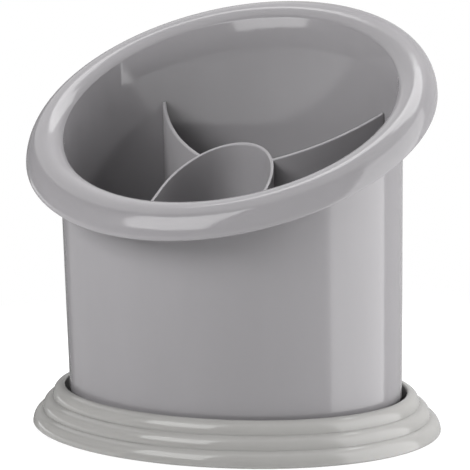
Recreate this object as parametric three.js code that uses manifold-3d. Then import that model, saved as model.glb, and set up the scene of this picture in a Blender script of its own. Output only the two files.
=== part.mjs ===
// A cutlery drainer for the side of a sink, in three pieces: an oval cup with a tilted, turned-down rim
// and a perforated floor, a divider that lifts out of the cup, and a stepped drip tray that the cup stands in.
// Millimetres. +Z is up, +X runs along the oval, +Y points to the rim's high side, and the origin is the
// centre of the tray's flat underside.
import * as THREE from 'three';
import { mergeVertices } from 'three/addons/utils/BufferGeometryUtils.js';
import Module from 'manifold-3d';

const wasm = await Module();
wasm.setup();

// Cup wall: an upright oval that grows a little with height
const cup_half_width = 78;
const cup_half_depth = 58;
const cup_draft_share = 0.0137;
const cup_wall = 1.8;
const cup_floor = 2.2;
const cup_outer_round = 3;
const cup_inner_round = 2;

// Rim: it follows a plane that rises towards +Y. Its skin rolls up from an edge inside the wall, over a crest
// and down to a lip, and the roll leans less than the plane does.
const rim_centre_height = 137;
const rim_tilt_degrees = 30.2;
const rim_lean_degrees = 17.1;
const rim_overhang = 14.4;
const rim_crest_reach = 5.7;
const rim_crest_rise = 5;
const rim_edge_rise = 0.9;
const rim_edge_turn_degrees = 60;
const rim_lip_turn_degrees = 90;
const rim_lip_drop = 6.4;
const rim_skin = 1.8;

// Cup feet and drain holes
const foot_height = 6;
const foot_radius = 5;
const foot_inset = 14;
const foot_turns_degrees = [45, 135, 225, 315];
const drain_hole_radius = 2.5;
const drain_hole_pitch = 16.5;
const drain_hole_margin = 8;

// Divider: an arch that opens to the low side, with a curved rib from each shoulder to the wall
const divider_wall = 1.5;
const divider_drop = 23.7;
const divider_tilt_degrees = 28.3;
const arch_half_width = 24.5;
const arch_crown_length = 30.3;
const arch_shoulder_setback = 15.6;
const rib_shoulder_degrees = 46;
const rib_wall_degrees = 45.7;
const rib_bow = 3.8;

// Drip tray: three rounded tiers round a well, hollow under the tiers
const tray_floor = 2.4;
const tray_mouth_gap = 2.3;
const tray_skin = 2;
const tray_mouth_round = 1;
const tray_inner_round = 2;
const tier_run = 4.5;
const top_tier_height = 5.4;
const middle_tier_height = 5.3;
const base_tier_height = 6.4;

// Clearances and overruns
const rest_gap = 0.3;
const insert_gap = 0.4;
const overrun = 5;

// Facets
const oval_steps = 72;
const crown_steps = 20;
const rib_steps = 10;
const hole_sides = 10;
const foot_sides = 16;
const roll_steps = 6;
const round_steps = 2;
const tier_steps = 4;

const rim_slope_share = Math.tan(THREE.MathUtils.degToRad(rim_tilt_degrees));
const rim_lean_share = Math.tan(THREE.MathUtils.degToRad(rim_lean_degrees));
const divider_slope_share = Math.tan(THREE.MathUtils.degToRad(divider_tilt_degrees));
const foot_bottom = tray_floor + rest_gap;
const cup_bottom = foot_bottom + foot_height;
const cup_floor_top = cup_bottom + cup_floor;
const divider_bottom = cup_floor_top + rest_gap;
const tray_height = base_tier_height + middle_tier_height + top_tier_height;

// The point at an angle round the cup's outer oval at a height, moved square to the oval by an offset.
function ovalPoint(turn, height, offset) {
  const growth = cup_draft_share * (height - rim_centre_height);
  const halfWidth = cup_half_width + growth;
  const halfDepth = cup_half_depth + growth;
  const normal = new THREE.Vector2(halfDepth * Math.cos(turn), halfWidth * Math.sin(turn)).normalize();
  const point = new THREE.Vector2(halfWidth * Math.cos(turn), halfDepth * Math.sin(turn));
  return point.addScaledVector(normal, offset);
}

// The height at which the cup's outer wall meets the rim's plane, at an angle round the oval.
function wallMeetsRim(turn) {
  const side = Math.sin(turn);
  const y = (cup_half_depth * side) / (1 - cup_draft_share * rim_slope_share * side);
  return rim_centre_height + rim_slope_share * y;
}

// The height of the divider's top over a place along Y.
function dividerTop(y) {
  return rim_centre_height - divider_drop + divider_slope_share * y;
}

// One ring of points round the oval, for a function from an angle to a point.
function ring(pointAt) {
  return Array.from({ length: oval_steps }, (_, step) => pointAt((step / oval_steps) * 2 * Math.PI));
}

// A ring at a fixed height, offset from the oval that the cup's wall has at wallHeight.
function levelRing(offset, height, wallHeight = height) {
  return ring((turn) => {
    const place = ovalPoint(turn, wallHeight, offset);
    return new THREE.Vector3(place.x, place.y, height);
  });
}

// A ring that follows the rim, offset outward from the cup's wall and raised over the leaning roll's base.
function rimRing(offset, rise) {
  return ring((turn) => {
    const height = wallMeetsRim(turn);
    const root = ovalPoint(turn, height, 0);
    const place = ovalPoint(turn, height, offset);
    return new THREE.Vector3(place.x, place.y, height + rim_lean_share * (place.y - root.y) + rise);
  });
}

// A closed body from rings listed from the middle of the underside, round the outside, to the top's middle.
function loft(rings) {
  const positions = [];
  const addTriangle = (a, b, c) => positions.push(...a, ...b, ...c);
  const middleOf = (points) => {
    const sum = points.reduce((total, point) => total.add(point), new THREE.Vector3());
    return sum.divideScalar(points.length);
  };
  const first = rings[0];
  const last = rings[rings.length - 1];
  const underside = middleOf(first);
  const top = middleOf(last);
  for (let step = 0; step < oval_steps; step += 1) {
    const next = (step + 1) % oval_steps;
    addTriangle(underside, first[next], first[step]);
    for (let row = 0; row + 1 < rings.length; row += 1) {
      const [low, high] = [rings[row], rings[row + 1]];
      addTriangle(low[step], low[next], high[next]);
      addTriangle(low[step], high[next], high[step]);
    }
    addTriangle(top, last[step], last[next]);
  }
  const geometry = new THREE.BufferGeometry();
  geometry.setAttribute('position', new THREE.Float32BufferAttribute(positions, 3));
  return geometry;
}

// Offsets and heights along a quarter of an ellipse about a centre, from its top to its side when the
// reach is positive, and mirrored when it is negative.
function quarter(centreOffset, centreHeight, reach, rise, steps) {
  return Array.from({ length: steps + 1 }, (_, step) => {
    const angle = (step / steps) * (Math.PI / 2);
    return [centreOffset + reach * Math.sin(angle), centreHeight + rise * Math.cos(angle)];
  });
}

function toSolid(geometry) {
  const bare = geometry.clone();
  bare.deleteAttribute('normal');
  bare.deleteAttribute('uv');
  const merged = mergeVertices(bare);
  return new wasm.Manifold(new wasm.Mesh({
    numProp: 3,
    vertProperties: merged.attributes.position.array,
    triVerts: new Uint32Array(merged.index.array),
  }));
}

function toGeometry(solid) {
  const mesh = solid.getMesh();
  const geometry = new THREE.BufferGeometry();
  geometry.setAttribute('position', new THREE.Float32BufferAttribute(mesh.vertProperties, mesh.numProp));
  geometry.setIndex(new THREE.Uint32BufferAttribute(mesh.triVerts, 1));
  geometry.computeVertexNormals();
  return geometry;
}

// An upright cylinder from one height to another.
function post(x, y, radius, low, high, sides) {
  const geometry = new THREE.CylinderGeometry(radius, radius, high - low, sides);
  geometry.rotateX(Math.PI / 2);
  geometry.translate(x, y, (low + high) / 2);
  return toSolid(geometry);
}

// Offsets and rises down the roll, along an arc that leaves the crest level and has turned by some degrees
// at its end.
function downRoll(crestRise, endOffset, endRise, turnDegrees) {
  const turn = THREE.MathUtils.degToRad(turnDegrees);
  const reach = (endOffset - rim_crest_reach) / Math.sin(turn);
  const fall = (crestRise - endRise) / (1 - Math.cos(turn));
  return Array.from({ length: roll_steps + 1 }, (_, step) => {
    const angle = (step / roll_steps) * turn;
    return [rim_crest_reach + reach * Math.sin(angle), crestRise - fall * (1 - Math.cos(angle))];
  });
}

// The rings of the rim's skin, from the root under it, round the lip and over the crest to the inner edge.
function rimRings() {
  const underRise = rim_crest_rise - rim_skin;
  const section = [
    ...downRoll(underRise, 0, rim_edge_rise - rim_skin, rim_edge_turn_degrees).reverse(),
    ...downRoll(underRise, rim_overhang - rim_skin, -rim_lip_drop, rim_lip_turn_degrees).slice(1),
    ...downRoll(rim_crest_rise, rim_overhang, -rim_lip_drop, rim_lip_turn_degrees).reverse(),
    ...downRoll(rim_crest_rise, -cup_wall, rim_edge_rise, rim_edge_turn_degrees).slice(1),
  ];
  return section.map(([offset, rise]) => rimRing(offset, rise));
}

// The cup's shell: underside, outer wall, rim, inner wall and floor.
function cupShell() {
  const outerRound = quarter(
    -cup_outer_round, cup_bottom + cup_outer_round, cup_outer_round, -cup_outer_round, round_steps,
  );
  const innerRound = quarter(
    -cup_wall - cup_inner_round, cup_floor_top + cup_inner_round, cup_inner_round, -cup_inner_round, round_steps,
  );
  return loft([
    ...outerRound.map(([offset, height]) => levelRing(offset, height)),
    ...rimRings(),
    ...innerRound.reverse().map(([offset, height]) => levelRing(offset, height)),
  ]);
}

// Feet on an oval inside the floor's edge, which hold the floor above the water in the tray.
function cupFeet() {
  return foot_turns_degrees.map((degrees) => {
    const place = ovalPoint(THREE.MathUtils.degToRad(degrees), cup_bottom, -foot_inset);
    return post(place.x, place.y, foot_radius, foot_bottom, cup_bottom + cup_floor / 2, foot_sides);
  });
}

// Whether a place is inside the floor's flat middle, a margin in from its rounded edge.
function onFloor(x, y) {
  const edge = ovalPoint(0, cup_floor_top, -cup_wall - drain_hole_margin).x;
  const side = ovalPoint(Math.PI / 2, cup_floor_top, -cup_wall - drain_hole_margin).y;
  return (x / edge) ** 2 + (y / side) ** 2 < 1;
}

// Whether a drain hole here would run into a foot.
function overFoot(x, y) {
  return foot_turns_degrees.some((degrees) => {
    const place = ovalPoint(THREE.MathUtils.degToRad(degrees), cup_bottom, -foot_inset);
    return Math.hypot(x - place.x, y - place.y) < foot_radius + 2 * drain_hole_radius;
  });
}

// Drain holes on a staggered grid over the floor.
function drainHoles() {
  const rowPitch = drain_hole_pitch * Math.sin(Math.PI / 3);
  const rows = Math.ceil(cup_half_depth / rowPitch);
  const columns = Math.ceil(cup_half_width / drain_hole_pitch) + 1;
  const holes = [];
  for (let row = -rows; row <= rows; row += 1) {
    for (let column = -columns; column <= columns; column += 1) {
      const x = (column + (Math.abs(row) % 2) / 2) * drain_hole_pitch;
      const y = row * rowPitch;
      if (onFloor(x, y) && !overFoot(x, y)) {
        holes.push(post(x, y, drain_hole_radius, cup_bottom - overrun, cup_floor_top + overrun, hole_sides));
      }
    }
  }
  return holes;
}

function makeCup() {
  const withFeet = cupFeet().reduce((solid, foot) => solid.add(foot), toSolid(cupShell()));
  return toGeometry(drainHoles().reduce((solid, hole) => solid.subtract(hole), withFeet));
}

// A wall of the divider's thickness, standing along a line of plan points.
function standingWall(points, low, high) {
  const sides = points.map((point, index) => {
    const before = points[Math.max(index - 1, 0)];
    const after = points[Math.min(index + 1, points.length - 1)];
    const along = after.clone().sub(before).normalize();
    return new THREE.Vector2(-along.y, along.x).multiplyScalar(divider_wall / 2);
  });
  const left = points.map((point, index) => point.clone().add(sides[index]));
  const right = points.map((point, index) => point.clone().sub(sides[index]));
  const outline = new THREE.Shape([...left, ...right.reverse()]);
  const geometry = new THREE.ExtrudeGeometry(outline, { depth: high - low, bevelEnabled: false });
  geometry.translate(0, 0, low);
  return toSolid(geometry);
}

// The arch: straight legs from beyond the low side's wall, and a half oval crown towards the high side.
function archLine() {
  const crown = new THREE.EllipseCurve(
    0, -arch_shoulder_setback, arch_half_width, arch_crown_length, 0, Math.PI,
  ).getPoints(crown_steps);
  const legEnd = -cup_half_depth - overrun;
  return [
    new THREE.Vector2(arch_half_width, legEnd),
    ...crown,
    new THREE.Vector2(-arch_half_width, legEnd),
  ];
}

// One rib: a bowed line from the arch's shoulder to a place just beyond the cup's wall.
function ribLine(side) {
  const shoulder = THREE.MathUtils.degToRad(rib_shoulder_degrees);
  const start = new THREE.Vector2(
    arch_half_width * Math.sin(shoulder), -arch_shoulder_setback + arch_crown_length * Math.cos(shoulder),
  );
  const wallTurn = Math.PI / 2 - THREE.MathUtils.degToRad(rib_wall_degrees);
  const end = ovalPoint(wallTurn, rim_centre_height, 0);
  const chord = end.clone().sub(start);
  const outward = new THREE.Vector2(chord.y, -chord.x).normalize();
  const middle = start.clone().add(end).divideScalar(2).addScaledVector(outward, 2 * rib_bow);
  const line = new THREE.QuadraticBezierCurve(start, middle, end).getPoints(rib_steps);
  return line.map((point) => new THREE.Vector2(side * point.x, point.y));
}

// The room that the divider may fill: the inside of the cup, less a running gap, up to a tilted plane.
function dividerRoom() {
  const edge = -cup_wall - insert_gap;
  const topRing = ring((turn) => {
    const place = ovalPoint(turn, dividerTop(cup_half_depth * Math.sin(turn)), edge);
    return new THREE.Vector3(place.x, place.y, dividerTop(place.y));
  });
  return toSolid(loft([
    levelRing(edge - cup_inner_round, divider_bottom),
    levelRing(edge, divider_bottom + cup_inner_round),
    topRing,
  ]));
}

function makeDivider() {
  const high = dividerTop(cup_half_depth) + overrun;
  const low = divider_bottom - overrun;
  const walls = [archLine(), ribLine(1), ribLine(-1)].map((line) => standingWall(line, low, high));
  return toGeometry(walls.reduce((solid, wall) => solid.add(wall)).intersect(dividerRoom()));
}

// The tray's rings: flat underside, the hollow under the tiers, the tiers themselves, and the well.
function makeTray() {
  const rises = [top_tier_height, middle_tier_height, base_tier_height];
  const brow = tray_mouth_gap + tray_mouth_round;
  const tierFeet = rises.map((_, index) => rises.slice(index + 1).reduce((sum, rise) => sum + rise, 0));
  const tiers = rises.flatMap((rise, index) => (
    quarter(brow + index * tier_run, tierFeet[index], tier_run, rise, tier_steps)
  ));
  const wellOutside = tray_mouth_gap + tray_skin;
  const hollow = rises.flatMap((rise, index) => (
    quarter(brow + index * tier_run, tierFeet[index], tier_run - tray_skin, rise - tray_skin, round_steps)
  )).filter(([offset]) => offset > wellOutside);
  const mouthRound = quarter(
    brow, tray_height - tray_mouth_round, -tray_mouth_round, tray_mouth_round, round_steps,
  );
  const wellRound = quarter(
    tray_mouth_gap - tray_inner_round, tray_floor + tray_inner_round, tray_inner_round, -tray_inner_round,
    round_steps,
  );
  const section = [
    [wellOutside, 0],
    [wellOutside, hollow[0][1]],
    ...hollow,
    ...tiers.reverse(),
    ...mouthRound.slice(1),
    ...wellRound.reverse(),
  ];
  return loft(section.map(([offset, height]) => levelRing(offset, height, 0)));
}

function piece(name, geometry, material) {
  const mesh = new THREE.Mesh(geometry, material);
  mesh.name = name;
  return mesh;
}

const cup_plastic = new THREE.MeshStandardMaterial({ color: 0x9a989b, roughness: 0.28, metalness: 0 });
const divider_plastic = new THREE.MeshStandardMaterial({ color: 0x9a989b, roughness: 0.34, metalness: 0 });
const tray_plastic = new THREE.MeshStandardMaterial({ color: 0xa9a9a5, roughness: 0.3, metalness: 0 });

const group = new THREE.Group();
group.add(piece('drip_tray', makeTray(), tray_plastic));
group.add(piece('drainer_cup', makeCup(), cup_plastic));
group.add(piece('divider_insert', makeDivider(), divider_plastic));

export default group;
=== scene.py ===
import math

import bmesh
import bpy
from mathutils import Matrix, Vector
from mathutils.geometry import delaunay_2d_cdt


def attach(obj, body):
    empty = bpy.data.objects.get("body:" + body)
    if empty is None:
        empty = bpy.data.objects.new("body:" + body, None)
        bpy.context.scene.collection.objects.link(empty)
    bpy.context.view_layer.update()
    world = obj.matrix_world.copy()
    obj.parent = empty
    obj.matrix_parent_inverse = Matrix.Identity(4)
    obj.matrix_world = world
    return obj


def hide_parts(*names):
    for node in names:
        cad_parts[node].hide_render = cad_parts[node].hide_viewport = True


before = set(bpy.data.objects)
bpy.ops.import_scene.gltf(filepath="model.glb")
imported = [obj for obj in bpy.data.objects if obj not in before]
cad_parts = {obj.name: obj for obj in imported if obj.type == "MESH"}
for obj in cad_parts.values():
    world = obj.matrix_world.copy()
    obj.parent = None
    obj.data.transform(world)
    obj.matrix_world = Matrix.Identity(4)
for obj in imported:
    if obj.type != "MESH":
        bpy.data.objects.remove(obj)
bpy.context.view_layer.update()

# Sizes are the part's own, in millimetres; meshes are written in metres.
MM = 0.001
HALF_WIDTH = 78.0
HALF_DEPTH = 58.0
DRAFT = 0.0137
WALL = 1.8
FLOOR = 2.2
OUTER_ROUND = 3.0
INNER_ROUND = 2.0

RIM_HEIGHT = 137.0
RIM_SLOPE = math.tan(math.radians(30.2))
RIM_LEAN = math.tan(math.radians(17.1))
RIM_OVERHANG = 14.4
CREST_REACH = 5.7
CREST_RISE = 5.0
EDGE_RISE = 0.9
EDGE_TURN = math.radians(60)
LIP_DROP = 6.4
RIM_SKIN = 1.8
LIP_ROUND = 0.9

FOOT_HEIGHT = 6.0
FOOT_RADIUS = 5.0
FOOT_INSET = 14.0
FOOT_TURNS = (45, 135, 225, 315)
FOOT_FILLET = 0.6
HOLE_RADIUS = 2.5
HOLE_PITCH = 16.5
HOLE_MARGIN = 8.0
HOLE_CHAMFER = 0.35
HOLE_EASING = 0.1

DIVIDER_WALL = 1.5
DIVIDER_DROP = 23.7
DIVIDER_SLOPE = math.tan(math.radians(28.3))
DIVIDER_ROUND = 0.42
ARCH_HALF = 24.5
ARCH_CROWN = 30.3
ARCH_SETBACK = 15.6
RIB_SHOULDER = math.radians(46)
RIB_WALL = math.radians(45.7)
RIB_BOW = 3.8
LEG_OVERRUN = 5.0

TRAY_FLOOR = 2.4
MOUTH_GAP = 2.3
TRAY_SKIN = 2.0
MOUTH_ROUND = 1.0
TRAY_INNER_ROUND = 2.0
TIER_RUN = 4.5
TIER_RISES = (5.4, 5.3, 6.4)
HEEL_ROUND = 0.8

REST_GAP = 0.3
INSERT_GAP = 0.4

FOOT_BOTTOM = TRAY_FLOOR + REST_GAP
CUP_BOTTOM = FOOT_BOTTOM + FOOT_HEIGHT
FLOOR_TOP = CUP_BOTTOM + FLOOR
DIVIDER_BOTTOM = FLOOR_TOP + REST_GAP
TRAY_HEIGHT = sum(TIER_RISES)

# How far a flat plate's border lies inside the round that leads to it
PLATE_MARGIN = 0.5
TRAY_PLATE_MARGIN = 0.6

# How finely the meshes are cut
STATIONS = 288
WALL_STEPS = 12
ROUND_STEPS = 6
UNDER_ROLL_STEPS = 14
OUTER_ROLL_STEPS = 24
INNER_ROLL_STEPS = 20
BEAD_STEPS = 10
HOLE_SIDES = 28
FOOT_SIDES = 36
DIVIDER_LEVELS = 14
DIVIDER_ROUND_STEPS = 5
CROWN_STEPS = 80
RIB_STEPS = 90
TIER_STEPS = 16
HEEL_STEPS = 5
CARD_STEPS = 16

# The camera's side, from which the lamps and cards count their azimuth, and the height they aim at
CAMERA_AZIMUTH = 29.563
MIDDLE_HEIGHT = 0.09

# Faces that are this level are shaded flat
LEVEL_NORMAL = 0.9999


# Places on the oval and the rim's plane, as in the part's own source

def oval_point(turn, height, offset):
    growth = DRAFT * (height - RIM_HEIGHT)
    half_width, half_depth = HALF_WIDTH + growth, HALF_DEPTH + growth
    normal = Vector((half_depth * math.cos(turn), half_width * math.sin(turn))).normalized()
    return Vector((half_width * math.cos(turn), half_depth * math.sin(turn))) + normal * offset


def wall_meets_rim(turn):
    side = math.sin(turn)
    return RIM_HEIGHT + RIM_SLOPE * HALF_DEPTH * side / (1 - DRAFT * RIM_SLOPE * side)


def divider_top(y):
    return RIM_HEIGHT - DIVIDER_DROP + DIVIDER_SLOPE * y


def turns():
    return [2 * math.pi * step / STATIONS for step in range(STATIONS)]


def level_ring(offset, height, wall_height=None):
    at = height if wall_height is None else wall_height
    return [Vector((*oval_point(turn, at, offset), height)) for turn in turns()]


def rim_ring(offset, rise):
    ring = []
    for turn in turns():
        height = wall_meets_rim(turn)
        root, place = oval_point(turn, height, 0), oval_point(turn, height, offset)
        ring.append(Vector((*place, height + RIM_LEAN * (place.y - root.y) + rise)))
    return ring


def between(low, high, share):
    return [a.lerp(b, share) for a, b in zip(low, high)]


def arc(centre_offset, centre_height, reach, rise, steps=ROUND_STEPS):
    """Offsets and heights on a quarter ellipse from its top (or bottom) to its side."""
    angles = [math.pi / 2 * step / steps for step in range(steps + 1)]
    return [
        (centre_offset + reach * math.sin(a), centre_height + rise * math.cos(a)) for a in angles
    ]


# Mesh building

def new_verts(bm, points):
    return [bm.verts.new(Vector(point) * MM) for point in points]


def skin_rings(bm, rings):
    """Quads between closed rings of the same count, seen from outside when listed upward."""
    for low, high in zip(rings, rings[1:]):
        count = len(low)
        for i in range(count):
            j = (i + 1) % count
            bm.faces.new((low[i], low[j], high[j], high[i]))


def fill_plate(bm, border, holes, up):
    """Triangles between a border ring and the rings of its holes, all on one plane in plan."""
    loops = [border, *holes]
    verts = [vert for loop in loops for vert in loop]
    coords = [Vector((vert.co.x, vert.co.y)) / MM for vert in verts]
    edges, start = [], 0
    for loop in loops:
        count = len(loop)
        edges += [(start + i, start + (i + 1) % count) for i in range(count)]
        start += count
    weld_distance = 1e-5
    out, _, faces, orig, _, _ = delaunay_2d_cdt(coords, edges, [], 1, weld_distance)
    source = [verts[ids[0]] for ids in orig]
    discs = [disc_of(hole) for hole in holes]
    for face in faces:
        middle = sum((out[i] for i in face), Vector((0, 0))) / len(face)
        if any((middle - centre).length < radius for centre, radius in discs):
            continue
        corners = [source[i] for i in face]
        flip = winding([out[i] for i in face]) > 0
        bm.faces.new(corners if flip == up else corners[::-1])


def disc_of(loop):
    """The middle of a round loop, and a radius a little short of its points."""
    points = [Vector((vert.co.x, vert.co.y)) / MM for vert in loop]
    centre = sum(points, Vector((0, 0))) / len(points)
    return centre, max((point - centre).length for point in points) * 0.97


def winding(points):
    """Above zero for a loop that runs counter-clockwise."""
    return sum(a.x * b.y - b.x * a.y for a, b in zip(points, points[1:] + points[:1]))


def circle(x, y, radius, height, sides):
    step = 2 * math.pi / sides
    return [
        (x + radius * math.cos(i * step), y + radius * math.sin(i * step), height)
        for i in range(sides)
    ]


def finish_mesh(name, bm, sharp_degrees):
    bmesh.ops.recalc_face_normals(bm, faces=bm.faces)
    mesh = bpy.data.meshes.new(name)
    bm.to_mesh(mesh)
    bm.free()
    mesh.shade_smooth()
    mesh.set_sharp_from_angle(angle=math.radians(sharp_degrees))
    for face in mesh.polygons:
        face.use_smooth = abs(face.normal.z) < LEVEL_NORMAL
    piece = bpy.data.objects.new(name, mesh)
    bpy.context.scene.collection.objects.link(piece)
    return piece


# Cup

def down_roll(crest_rise, end_offset, end_rise, turn, steps):
    """Offsets and rises from the crest to an end, along an arc that has turned by an angle."""
    reach = (end_offset - CREST_REACH) / math.sin(turn)
    fall = (crest_rise - end_rise) / (1 - math.cos(turn))
    angles = [turn * step / steps for step in range(steps + 1)]
    return [
        (CREST_REACH + reach * math.sin(a), crest_rise - fall * (1 - math.cos(a))) for a in angles
    ]


def rim_section():
    """The rim's skin from its root, under the roll, round the lip and over the crest."""
    under_rise = CREST_RISE - RIM_SKIN
    lip = LIP_DROP - LIP_ROUND
    under_end = RIM_OVERHANG - RIM_SKIN
    under_inner = down_roll(under_rise, 0, EDGE_RISE - RIM_SKIN, EDGE_TURN, UNDER_ROLL_STEPS)
    under_outer = down_roll(under_rise, under_end, -lip, math.pi / 2, UNDER_ROLL_STEPS)
    bead_turns = [math.pi * step / BEAD_STEPS for step in range(1, BEAD_STEPS)]
    bead = [
        (RIM_OVERHANG - LIP_ROUND - LIP_ROUND * math.cos(turn), -lip - LIP_ROUND * math.sin(turn))
        for turn in bead_turns
    ]
    outer = down_roll(CREST_RISE, RIM_OVERHANG, -lip, math.pi / 2, OUTER_ROLL_STEPS)
    inner = down_roll(CREST_RISE, -WALL, EDGE_RISE, EDGE_TURN, INNER_ROLL_STEPS)
    return under_inner[::-1] + under_outer[1:] + bead + outer[::-1] + inner[1:]


def foot_places():
    return [oval_point(math.radians(turn), CUP_BOTTOM, -FOOT_INSET) for turn in FOOT_TURNS]


def hole_places():
    edge = oval_point(0, FLOOR_TOP, -WALL - HOLE_MARGIN).x
    side = oval_point(math.pi / 2, FLOOR_TOP, -WALL - HOLE_MARGIN).y
    row_pitch = HOLE_PITCH * math.sin(math.pi / 3)
    rows = math.ceil(HALF_DEPTH / row_pitch)
    columns = math.ceil(HALF_WIDTH / HOLE_PITCH) + 1
    foot_room = FOOT_RADIUS + 2 * HOLE_RADIUS
    places = []
    for row in range(-rows, rows + 1):
        for column in range(-columns, columns + 1):
            place = Vector(((column + abs(row) % 2 / 2) * HOLE_PITCH, row * row_pitch))
            on_floor = (place.x / edge) ** 2 + (place.y / side) ** 2 < 1
            clear = all((place - foot).length > foot_room for foot in foot_places())
            if on_floor and clear:
                places.append(place)
    return places


def round_column(bm, place, column, sides):
    """The skin of a round hole or foot, from radii and heights, and its loops of points."""
    loops = [
        new_verts(bm, circle(place.x, place.y, radius, height, sides)) for radius, height in column
    ]
    skin_rings(bm, loops)
    return loops


def build_cup():
    bm = bmesh.new()
    inside = -WALL - INNER_ROUND
    outer_round = arc(-OUTER_ROUND, CUP_BOTTOM + OUTER_ROUND, OUTER_ROUND, -OUTER_ROUND)
    inner_round = arc(inside, FLOOR_TOP + INNER_ROUND, INNER_ROUND, -INNER_ROUND)[::-1]
    rim = [rim_ring(offset, rise) for offset, rise in rim_section()]
    low_out = level_ring(*outer_round[-1])
    low_in = level_ring(*inner_round[0])
    wall_shares = [step / WALL_STEPS for step in range(1, WALL_STEPS)]
    rings = [level_ring(-OUTER_ROUND - PLATE_MARGIN, CUP_BOTTOM)]
    rings += [level_ring(offset, height) for offset, height in outer_round]
    rings += [between(low_out, rim[0], share) for share in wall_shares]
    rings += rim
    rings += [between(rim[-1], low_in, share) for share in wall_shares]
    rings += [level_ring(offset, height) for offset, height in inner_round]
    rings += [level_ring(inside - PLATE_MARGIN, FLOOR_TOP)]
    verts = [new_verts(bm, ring) for ring in rings]
    skin_rings(bm, verts)

    hole_column = [
        (HOLE_RADIUS + HOLE_CHAMFER, CUP_BOTTOM),
        (HOLE_RADIUS, CUP_BOTTOM + HOLE_CHAMFER),
        (HOLE_RADIUS, FLOOR_TOP - HOLE_CHAMFER),
        (HOLE_RADIUS + HOLE_EASING, FLOOR_TOP - HOLE_CHAMFER / 3),
        (HOLE_RADIUS + HOLE_CHAMFER, FLOOR_TOP),
    ]
    foot_column = [
        (FOOT_RADIUS + FOOT_FILLET, CUP_BOTTOM),
        (FOOT_RADIUS + FOOT_FILLET / 3, CUP_BOTTOM - FOOT_FILLET / 3),
        (FOOT_RADIUS, CUP_BOTTOM - FOOT_FILLET),
        (FOOT_RADIUS, FOOT_BOTTOM + FOOT_FILLET),
        (FOOT_RADIUS - FOOT_FILLET / 3, FOOT_BOTTOM + FOOT_FILLET / 3),
        (FOOT_RADIUS - FOOT_FILLET, FOOT_BOTTOM),
    ]
    over, under = [], []
    for place in hole_places():
        loops = round_column(bm, place, hole_column, HOLE_SIDES)
        under.append(loops[0])
        over.append(loops[-1])
    for place in foot_places():
        loops = round_column(bm, place, foot_column, FOOT_SIDES)
        bm.faces.new(loops[-1])
        under.append(loops[0])
    fill_plate(bm, verts[-1], over, True)
    fill_plate(bm, verts[0], under, False)
    return finish_mesh("cup_shell", bm, 32)


# Divider

# Below these, two lines count as parallel and a corner as folded back on itself
PARALLEL = 1e-9
FOLDED = 1e-6

# Limits how far a sharp corner's mitre moves
LEAST_MITRE = 0.4

# Spans along the outline's parts
LEG_SPANS = 40
RIB_SPANS = 48
END_SPANS = 2
CROWN_SPANS = 36
INNER_SPANS = 70

# Rounds of the two searches for the place where a line meets the cup's wall
AIM_ROUNDS = 6
HALVINGS = 40


def side_lines(points, half):
    """The lines at half a thickness to the left and right of a line of plan points."""
    left, right = [], []
    for i, point in enumerate(points):
        along = (points[min(i + 1, len(points) - 1)] - points[max(i - 1, 0)]).normalized()
        across = Vector((-along.y, along.x)) * half
        left.append(point + across)
        right.append(point - across)
    return left, right


def crossing(line, path):
    """The first place where a line of points crosses a path, with the index after it on each."""
    for i in range(len(line) - 1):
        for j in range(len(path) - 1):
            a, b, c, d = line[i], line[i + 1], path[j], path[j + 1]
            r, s = b - a, d - c
            det = r.x * s.y - r.y * s.x
            if abs(det) < PARALLEL:
                continue
            t = ((c - a).x * s.y - (c - a).y * s.x) / det
            u = ((c - a).x * r.y - (c - a).y * r.x) / det
            if 0 <= t <= 1 and 0 <= u <= 1:
                return a + r * t, i + 1, j + 1
    raise ValueError("the lines don't cross")


def crown_point(turn):
    """A place on the arch's half oval crown, by the angle from its right shoulder."""
    return Vector((ARCH_HALF * math.cos(turn), -ARCH_SETBACK + ARCH_CROWN * math.sin(turn)))


def rib_curve(steps):
    start = crown_point(math.pi / 2 - RIB_SHOULDER)
    end = oval_point(math.pi / 2 - RIB_WALL, RIM_HEIGHT, 0)
    chord = end - start
    outward = Vector((chord.y, -chord.x)).normalized()
    middle = (start + end) / 2 + outward * 2 * RIB_BOW
    shares = [step / steps for step in range(steps + 1)]
    return [start * (1 - t) ** 2 + middle * 2 * t * (1 - t) + end * t ** 2 for t in shares]


def inside_oval(point, height, offset):
    """Below one inside the cup's oval at a height, moved square to it by an offset."""
    growth = DRAFT * (height - RIM_HEIGHT)
    turn = math.atan2(point.y / (HALF_DEPTH + growth), point.x / (HALF_WIDTH + growth))
    for _ in range(AIM_ROUNDS):
        edge = oval_point(turn, height, offset)
        turn += math.atan2(point.y, point.x) - math.atan2(edge.y, edge.x)
    return point.length / oval_point(turn, height, offset).length


def trim_to_wall(line, height, offset):
    """A line of points that starts inside the cup, cut where it meets the wall."""
    for i in range(len(line) - 1):
        if inside_oval(line[i + 1], height, offset) >= 1:
            low, high = 0.0, 1.0
            for _ in range(HALVINGS):
                half = (low + high) / 2
                if inside_oval(line[i].lerp(line[i + 1], half), height, offset) < 1:
                    low = half
                else:
                    high = half
            return line[:i + 1], line[i].lerp(line[i + 1], low)
    raise ValueError("the line stays inside the cup")


def resample(line, count):
    """The same line with evenly spaced points."""
    lengths = [0.0]
    for a, b in zip(line, line[1:]):
        lengths.append(lengths[-1] + (b - a).length)
    points, i = [], 0
    for step in range(count + 1):
        target = lengths[-1] * step / count
        while i < len(line) - 2 and lengths[i + 1] < target:
            i += 1
        span = lengths[i + 1] - lengths[i]
        points.append(line[i].lerp(line[i + 1], (target - lengths[i]) / span))
    return points


def mirrored(points):
    return [Vector((-point.x, point.y)) for point in points]


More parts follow.
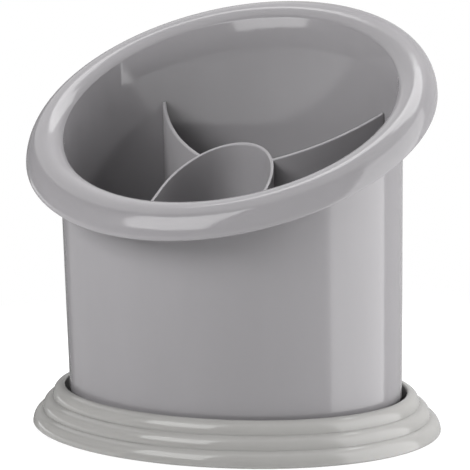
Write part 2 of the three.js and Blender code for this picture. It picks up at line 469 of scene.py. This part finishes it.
def divider_outline(height_of_end, offset):
    """The divider's outline in plan, counter-clockwise, with its ends where the wall is."""
    half = DIVIDER_WALL / 2
    crown = [crown_point(math.pi / 2 * step / CROWN_STEPS) for step in range(CROWN_STEPS + 1)]
    leg_start = -HALF_DEPTH - LEG_OVERRUN
    leg = [Vector((ARCH_HALF, leg_start + i)) for i in range(int(-ARCH_SETBACK - leg_start))]
    arch_in, arch_out = side_lines(leg + crown, half)
    rib_up, rib_low = side_lines(rib_curve(RIB_STEPS), half)
    low_cross, low_i, arch_i = crossing(rib_low, arch_out)
    up_cross, up_i, arch_j = crossing(rib_up, arch_out)
    leg_height, rib_height = height_of_end("leg"), height_of_end("rib")
    arch_out_legs, out_end = trim_to_wall(arch_out[:arch_i][::-1], leg_height, offset)
    arch_in_all, in_end = trim_to_wall(arch_in[::-1], leg_height, offset)
    low_rib, low_end = trim_to_wall([low_cross] + rib_low[low_i:], rib_height, offset)
    up_rib, up_end = trim_to_wall([up_cross] + rib_up[up_i:], rib_height, offset)
    parts = [
        resample([out_end] + arch_out_legs[::-1] + [low_cross], LEG_SPANS),
        resample(low_rib + [low_end], RIB_SPANS),
        resample([low_end, up_end], END_SPANS),
        resample([up_end] + up_rib[::-1], RIB_SPANS),
        resample([up_cross] + arch_out[arch_j:], CROWN_SPANS),
    ]
    right = [point for part in parts for point in part[:-1]] + [parts[-1][-1]]
    inner = resample([in_end] + arch_in_all[::-1], INNER_SPANS)
    left = mirrored(right[:-1][::-1])
    inner_left = mirrored(inner[:-1])
    end_left = resample(mirrored([out_end, in_end]), END_SPANS)[1:-1]
    end_right = resample([in_end, out_end], END_SPANS)[1:-1]
    return right + left + end_left + inner_left + inner[::-1] + end_right


def inset(points, distance):
    """A closed outline moved inward, corners mitred."""
    count, moved = len(points), []
    for i, point in enumerate(points):
        before = (point - points[i - 1]).normalized()
        after = (points[(i + 1) % count] - point).normalized()
        normal = Vector((-before.y - after.y, before.x + after.x))
        if normal.length < FOLDED:
            normal = Vector((-before.y, before.x))
        normal.normalize()
        share = max(normal.dot(Vector((-before.y, before.x))), LEAST_MITRE)
        moved.append(point + normal * distance / share)
    return moved


def build_divider():
    offset = -WALL - INSERT_GAP
    knee_height = DIVIDER_BOTTOM + INNER_ROUND
    tops = {"leg": divider_top(-HALF_DEPTH), "rib": divider_top(HALF_DEPTH * math.cos(RIB_WALL))}
    foot = divider_outline(lambda _: DIVIDER_BOTTOM, offset - INNER_ROUND)
    knee = divider_outline(lambda _: knee_height, offset)
    head = divider_outline(lambda end: tops[end], offset)
    toe = inset(foot, DIVIDER_ROUND / 2)
    rings = [
        [(*p, DIVIDER_BOTTOM) for p in toe],
        [(*p, DIVIDER_BOTTOM + DIVIDER_ROUND / 2) for p in foot],
        [(*p, knee_height) for p in knee],
    ]
    for level in range(1, DIVIDER_LEVELS):
        share = level / DIVIDER_LEVELS
        ring = []
        for p, q in zip(knee, head):
            high = divider_top(q.y) - DIVIDER_ROUND
            ring.append((*p.lerp(q, share), knee_height + (high - knee_height) * share))
        rings.append(ring)
    for step in range(DIVIDER_ROUND_STEPS + 1):
        angle = math.pi / 2 * step / DIVIDER_ROUND_STEPS
        edge = inset(head, DIVIDER_ROUND * (1 - math.cos(angle)))
        drop = DIVIDER_ROUND * (1 - math.sin(angle))
        rings.append([(*p, divider_top(p.y) - drop) for p in edge])
    bm = bmesh.new()
    verts = [new_verts(bm, ring) for ring in rings]
    skin_rings(bm, verts)
    fill_plate(bm, verts[-1], [], True)
    fill_plate(bm, verts[0], [], False)
    return finish_mesh("divider_walls", bm, 38)


# Tray

def tray_section():
    """Offsets and heights from the underside, through the hollow and over the tiers to the well."""
    brow = MOUTH_GAP + MOUTH_ROUND
    feet = [sum(TIER_RISES[i + 1:]) for i in range(3)]
    outer = []
    for i in (2, 1, 0):
        tier = arc(brow + i * TIER_RUN, feet[i], TIER_RUN, TIER_RISES[i], TIER_STEPS)[::-1]
        if i == 2:
            edge = brow + 3 * TIER_RUN
            heel = arc(edge - HEEL_ROUND, HEEL_ROUND, HEEL_ROUND, -HEEL_ROUND, HEEL_STEPS)
            tier = heel + [point for point in tier if point[1] > HEEL_ROUND]
        outer += tier
    mouth = arc(brow, TRAY_HEIGHT - MOUTH_ROUND, -MOUTH_ROUND, MOUTH_ROUND)[1:]
    well_edge, well_height = MOUTH_GAP - TRAY_INNER_ROUND, TRAY_FLOOR + TRAY_INNER_ROUND
    well = arc(well_edge, well_height, TRAY_INNER_ROUND, -TRAY_INNER_ROUND)
    inside = MOUTH_GAP + TRAY_SKIN
    hollow = []
    for i in range(3):
        reach, rise = TIER_RUN - TRAY_SKIN, TIER_RISES[i] - TRAY_SKIN
        ledge = arc(brow + i * TIER_RUN, feet[i], reach, rise)
        hollow += [point for point in ledge if point[0] > inside]
    start = [(inside - TRAY_PLATE_MARGIN, 0.0), (inside, 0.0), (inside, hollow[0][1])]
    middle = [(MOUTH_GAP, TRAY_HEIGHT / 2)]
    end = [(well[0][0] - TRAY_PLATE_MARGIN, TRAY_FLOOR)]
    return start + hollow + outer + mouth + middle + well[::-1] + end


def build_tray():
    bm = bmesh.new()
    wall_height = 0
    verts = [
        new_verts(bm, level_ring(offset, height, wall_height)) for offset, height in tray_section()
    ]
    skin_rings(bm, verts)
    bm.faces.new(verts[0])
    bm.faces.new(verts[-1])
    return finish_mesh("tray_shell", bm, 38)


# Materials

class Nodes:
    """A short way to add and join shader nodes."""

    def __init__(self, tree):
        self.tree = tree
        tree.nodes.clear()

    def add(self, kind, inputs=None, **settings):
        node = self.tree.nodes.new(kind)
        for key, value in settings.items():
            setattr(node, key, value)
        for key, value in (inputs or {}).items():
            socket = node.inputs[key]
            if isinstance(value, bpy.types.NodeSocket):
                self.tree.links.new(value, socket)
            else:
                socket.default_value = value
        return node


# The mix node's sockets for a share and for two colours, and its colour output
MIX_SHARE, MIX_FIRST, MIX_SECOND, MIX_RESULT = 0, 6, 7, 2

# How much the plastics' colour varies, and their roughness to both sides
COLOUR_SPREAD = 0.03
SMOOTHER, ROUGHER = 0.02, 0.03


def new_material(name):
    material = bpy.data.materials.new(name)
    material.use_nodes = True
    return material, Nodes(material.node_tree)


def moulded_plastic(name, colour, roughness, seed):
    """Moulded plastic: faint flow marks in colour and gloss, and a fine waviness in the skin."""
    material, nodes = new_material(name)
    place = nodes.add("ShaderNodeTexCoord").outputs["Object"]
    moved = nodes.add("ShaderNodeMapping", {
        "Vector": place, "Location": (seed, seed / 2, 0),
    }).outputs[0]
    flow = nodes.add("ShaderNodeMapping", {"Vector": moved, "Scale": (60, 60, 9)}).outputs[0]
    marks = nodes.add("ShaderNodeTexNoise", {
        "Vector": flow, "Scale": 1.0, "Detail": 3.0, "Roughness": 0.55,
    })
    dark = tuple(part * (1 - COLOUR_SPREAD) for part in colour) + (1,)
    pale = tuple(part * (1 + COLOUR_SPREAD) for part in colour) + (1,)
    tint = nodes.add("ShaderNodeMix", {
        MIX_FIRST: dark, MIX_SECOND: pale, MIX_SHARE: marks.outputs[0],
    }, data_type="RGBA")
    handled = nodes.add("ShaderNodeTexNoise", {"Vector": moved, "Scale": 45.0, "Detail": 4.0})
    gloss = nodes.add("ShaderNodeMapRange", {
        "Value": handled.outputs[0], "From Min": 0.3, "From Max": 0.7,
        "To Min": roughness - SMOOTHER, "To Max": roughness + ROUGHER,
    })
    ripple = nodes.add("ShaderNodeTexNoise", {"Vector": moved, "Scale": 260.0, "Detail": 1.0})
    grain = nodes.add("ShaderNodeTexNoise", {"Vector": moved, "Scale": 1500.0, "Detail": 2.0})
    wave = nodes.add("ShaderNodeBump", {
        "Height": ripple.outputs[0], "Strength": 0.4, "Distance": 0.00006,
    })
    skin = nodes.add("ShaderNodeBump", {
        "Height": grain.outputs[0], "Normal": wave.outputs[0], "Strength": 0.5, "Distance": 0.00001,
    })
    shader = nodes.add("ShaderNodeBsdfPrincipled", {
        "Base Color": tint.outputs[MIX_RESULT], "Roughness": gloss.outputs[0],
        "Normal": skin.outputs[0], "IOR": 1.5, "Specular IOR Level": 0.5,
    })
    nodes.add("ShaderNodeOutputMaterial", {"Surface": shader.outputs[0]})
    return material


# Camera, floor and light

WHITE = (1, 1, 1, 1)


def direction(azimuth, elevation):
    """The unit direction from the drainer, by radians right of its low side and above the level."""
    level = math.cos(elevation)
    return Vector((math.sin(azimuth) * level, -math.cos(azimuth) * level, math.sin(elevation)))


def make_camera():
    azimuth, elevation, roll = math.radians(CAMERA_AZIMUTH), math.radians(10.055), 0.0209
    aim, distance = Vector((-0.0001, 0.00415, 0.0826)), 1.1602
    back = direction(azimuth, elevation)
    level = Vector((math.cos(azimuth), math.sin(azimuth), 0))
    upward = back.cross(level)
    side = level * math.cos(roll) - upward * math.sin(roll)
    top = upward * math.cos(roll) + level * math.sin(roll)
    camera = bpy.data.objects.new("camera", bpy.data.cameras.new("camera"))
    bpy.context.scene.collection.objects.link(camera)
    turn = Matrix((side, top, back)).transposed().to_4x4()
    camera.matrix_world = Matrix.Translation(aim + back * distance) @ turn
    camera.data.sensor_width = 36
    camera.data.lens = 205.93
    camera.data.clip_start, camera.data.clip_end = 0.05, 20
    bpy.context.scene.camera = camera


def seen_by(nodes, *rays):
    """One for the kinds of ray that are named, zero for the others."""
    path = nodes.add("ShaderNodeLightPath")
    seen = path.outputs[rays[0]]
    for ray in rays[1:]:
        either = nodes.add("ShaderNodeMath", {0: seen, 1: path.outputs[ray]}, operation="MAXIMUM")
        seen = either.outputs[0]
    return seen


def make_world():
    world = bpy.data.worlds.new("studio")
    bpy.context.scene.world = world
    world.use_nodes = True
    nodes = Nodes(world.node_tree)
    seen = seen_by(nodes, "Is Camera Ray", "Is Glossy Ray", "Is Transmission Ray")
    ambient = nodes.add("ShaderNodeBackground", {"Color": WHITE, "Strength": 0.05})
    white = nodes.add("ShaderNodeBackground", {"Color": WHITE, "Strength": 1.0})
    pick = nodes.add("ShaderNodeMixShader", {0: seen, 1: ambient.outputs[0], 2: white.outputs[0]})
    nodes.add("ShaderNodeOutputWorld", {"Surface": pick.outputs[0]})


def make_floor():
    """White paper that keeps the drainer's shadow near it and runs out to plain white."""
    bm = bmesh.new()
    bmesh.ops.create_grid(bm, x_segments=8, y_segments=8, size=3)
    floor = finish_mesh("floor", bm, 30)
    floor.location.z = -0.0001
    material, nodes = new_material("floor_paper")
    seen = seen_by(nodes, "Is Camera Ray", "Is Transmission Ray")
    place = nodes.add("ShaderNodeTexCoord").outputs["Object"]
    reach = nodes.add("ShaderNodeVectorMath", {0: place}, operation="LENGTH")
    far = nodes.add("ShaderNodeMapRange", {
        "Value": reach.outputs["Value"], "From Min": 0.13, "From Max": 0.3,
    }, interpolation_type="SMOOTHSTEP")
    paper = nodes.add("ShaderNodeBsdfDiffuse", {"Color": (0.86, 0.86, 0.86, 1)})
    shown = nodes.add("ShaderNodeBsdfDiffuse", {"Color": (0.35, 0.35, 0.35, 1)})
    lift = nodes.add("ShaderNodeEmission", {"Color": WHITE, "Strength": 0.74})
    white = nodes.add("ShaderNodeEmission", {"Color": WHITE, "Strength": 1.0})
    near = nodes.add("ShaderNodeAddShader", {0: shown.outputs[0], 1: lift.outputs[0]})
    sight = nodes.add("ShaderNodeMixShader", {
        0: far.outputs[0], 1: near.outputs[0], 2: white.outputs[0],
    })
    both = nodes.add("ShaderNodeMixShader", {0: seen, 1: paper.outputs[0], 2: sight.outputs[0]})
    nodes.add("ShaderNodeOutputMaterial", {"Surface": both.outputs[0]})
    floor.data.materials.append(material)
    floor.visible_glossy = False


def around(azimuth, elevation, distance):
    """A place round the drainer, by degrees right of the camera's side and above the level."""
    outward = direction(math.radians(CAMERA_AZIMUTH + azimuth), math.radians(elevation))
    return outward * distance + Vector((0, 0, MIDDLE_HEIGHT))


def softbox(name, azimuth, elevation, power):
    """A soft lamp that lights the drainer; its look in the gloss is a card's work."""
    data = bpy.data.lights.new(name, "AREA")
    data.shape = "SQUARE"
    data.size, data.energy = 0.7, power
    lamp = bpy.data.objects.new(name, data)
    bpy.context.scene.collection.objects.link(lamp)
    lamp.location = around(azimuth, elevation, 1.3)
    inward = Vector((0, 0, MIDDLE_HEIGHT)) - lamp.location
    lamp.rotation_euler = inward.to_track_quat("-Z", "Y").to_euler()
    lamp.visible_camera = False
    lamp.visible_glossy = False


def card(name, low_left, low_right, high_right, high_left, distance, strength):
    """A curved card that shows only in the gloss: bright for a softbox, dark for a flag.

    Its corners are azimuths and elevations, in degrees.
    """
    bm = bmesh.new()
    shares = [i / CARD_STEPS for i in range(CARD_STEPS + 1)]
    rows = []
    for up in shares:
        left = Vector(low_left).lerp(Vector(high_left), up)
        right = Vector(low_right).lerp(Vector(high_right), up)
        places = [around(*left.lerp(right, across), distance) for across in shares]
        rows.append([bm.verts.new(place) for place in places])
    for low, high in zip(rows, rows[1:]):
        for i in range(CARD_STEPS):
            bm.faces.new((low[i], low[i + 1], high[i + 1], high[i]))
    piece = finish_mesh(name, bm, 60)
    material, nodes = new_material(name)
    depth = nodes.add("ShaderNodeLightPath").outputs["Diffuse Depth"]
    first = nodes.add("ShaderNodeMath", {0: depth, 1: 0.5}, operation="LESS_THAN")
    level = nodes.add("ShaderNodeMath", {0: first.outputs[0], 1: strength}, operation="MULTIPLY")
    glow = nodes.add("ShaderNodeEmission", {"Color": WHITE, "Strength": level.outputs[0]})
    nodes.add("ShaderNodeOutputMaterial", {"Surface": glow.outputs[0]})
    material.cycles.emission_sampling = "NONE"
    piece.data.materials.append(material)
    piece.visible_camera = False
    piece.visible_diffuse = False
    piece.visible_shadow = False
    piece.visible_transmission = False


# The pieces on their bodies

MID_GREY = (0.244, 0.237, 0.246)
WARM_GREY = (0.302, 0.298, 0.289)
cup_plastic = moulded_plastic("cup_plastic", MID_GREY, 0.1, 1.3)
divider_plastic = moulded_plastic("divider_plastic", MID_GREY, 0.32, 4.1)
tray_plastic = moulded_plastic("tray_plastic", WARM_GREY, 0.09, 7.7)

for build, material, node, body, slot in (
    (build_cup, cup_plastic, "drainer_cup", "cup", "cup_plastic"),
    (build_divider, divider_plastic, "divider_insert", "divider", "divider_plastic"),
    (build_tray, tray_plastic, "drip_tray", "tray", "tray_plastic"),
):
    piece = build()
    piece.data.materials.append(material)
    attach(piece, body)
    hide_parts(node)

make_camera()
make_world()
make_floor()
softbox("lamp_front_left", -64, 31, 15.5)
softbox("lamp_front", -20, 28, 3.2)
softbox("lamp_right", 76, 15, 18.0)
softbox("lamp_back", 155, 48, 23.0)
softbox("lamp_top", 0, 85, 3.0)
card("table_near", (-178, -17), (36, -17), (36, -6), (-178, -6), 1.3, 0.45)
card("table_far", (-142, -6), (36, -6), (36, -1), (-142, -1), 1.3, 1.3)
card("flag_front", (-78, -2), (36, -2), (36, 64), (-78, 60), 1.2, 0.0)
card("flag_left", (-142, -2), (-78, -2), (-78, 60), (-142, 22), 1.2, 0.0)
card("flag_right", (104, -45), (182, -45), (182, 48), (104, 48), 1.2, 0.5)
card("flag_back_left", (-178, -18), (-142, -18), (-142, 22), (-178, 26), 1.2, 0.15)
card("box_front_left", (-68, 18), (-35, 18), (-36, 57), (-78, 47), 1.0, 3.8)
card("box_right", (39.5, -40), (102, -40), (102, 45), (39.5, 45), 0.75, 2.8)
card("box_back_high", (100, 58), (225, 60), (225, 80), (100, 80), 1.0, 4.6)

bpy.context.scene.view_settings.view_transform = "Standard"
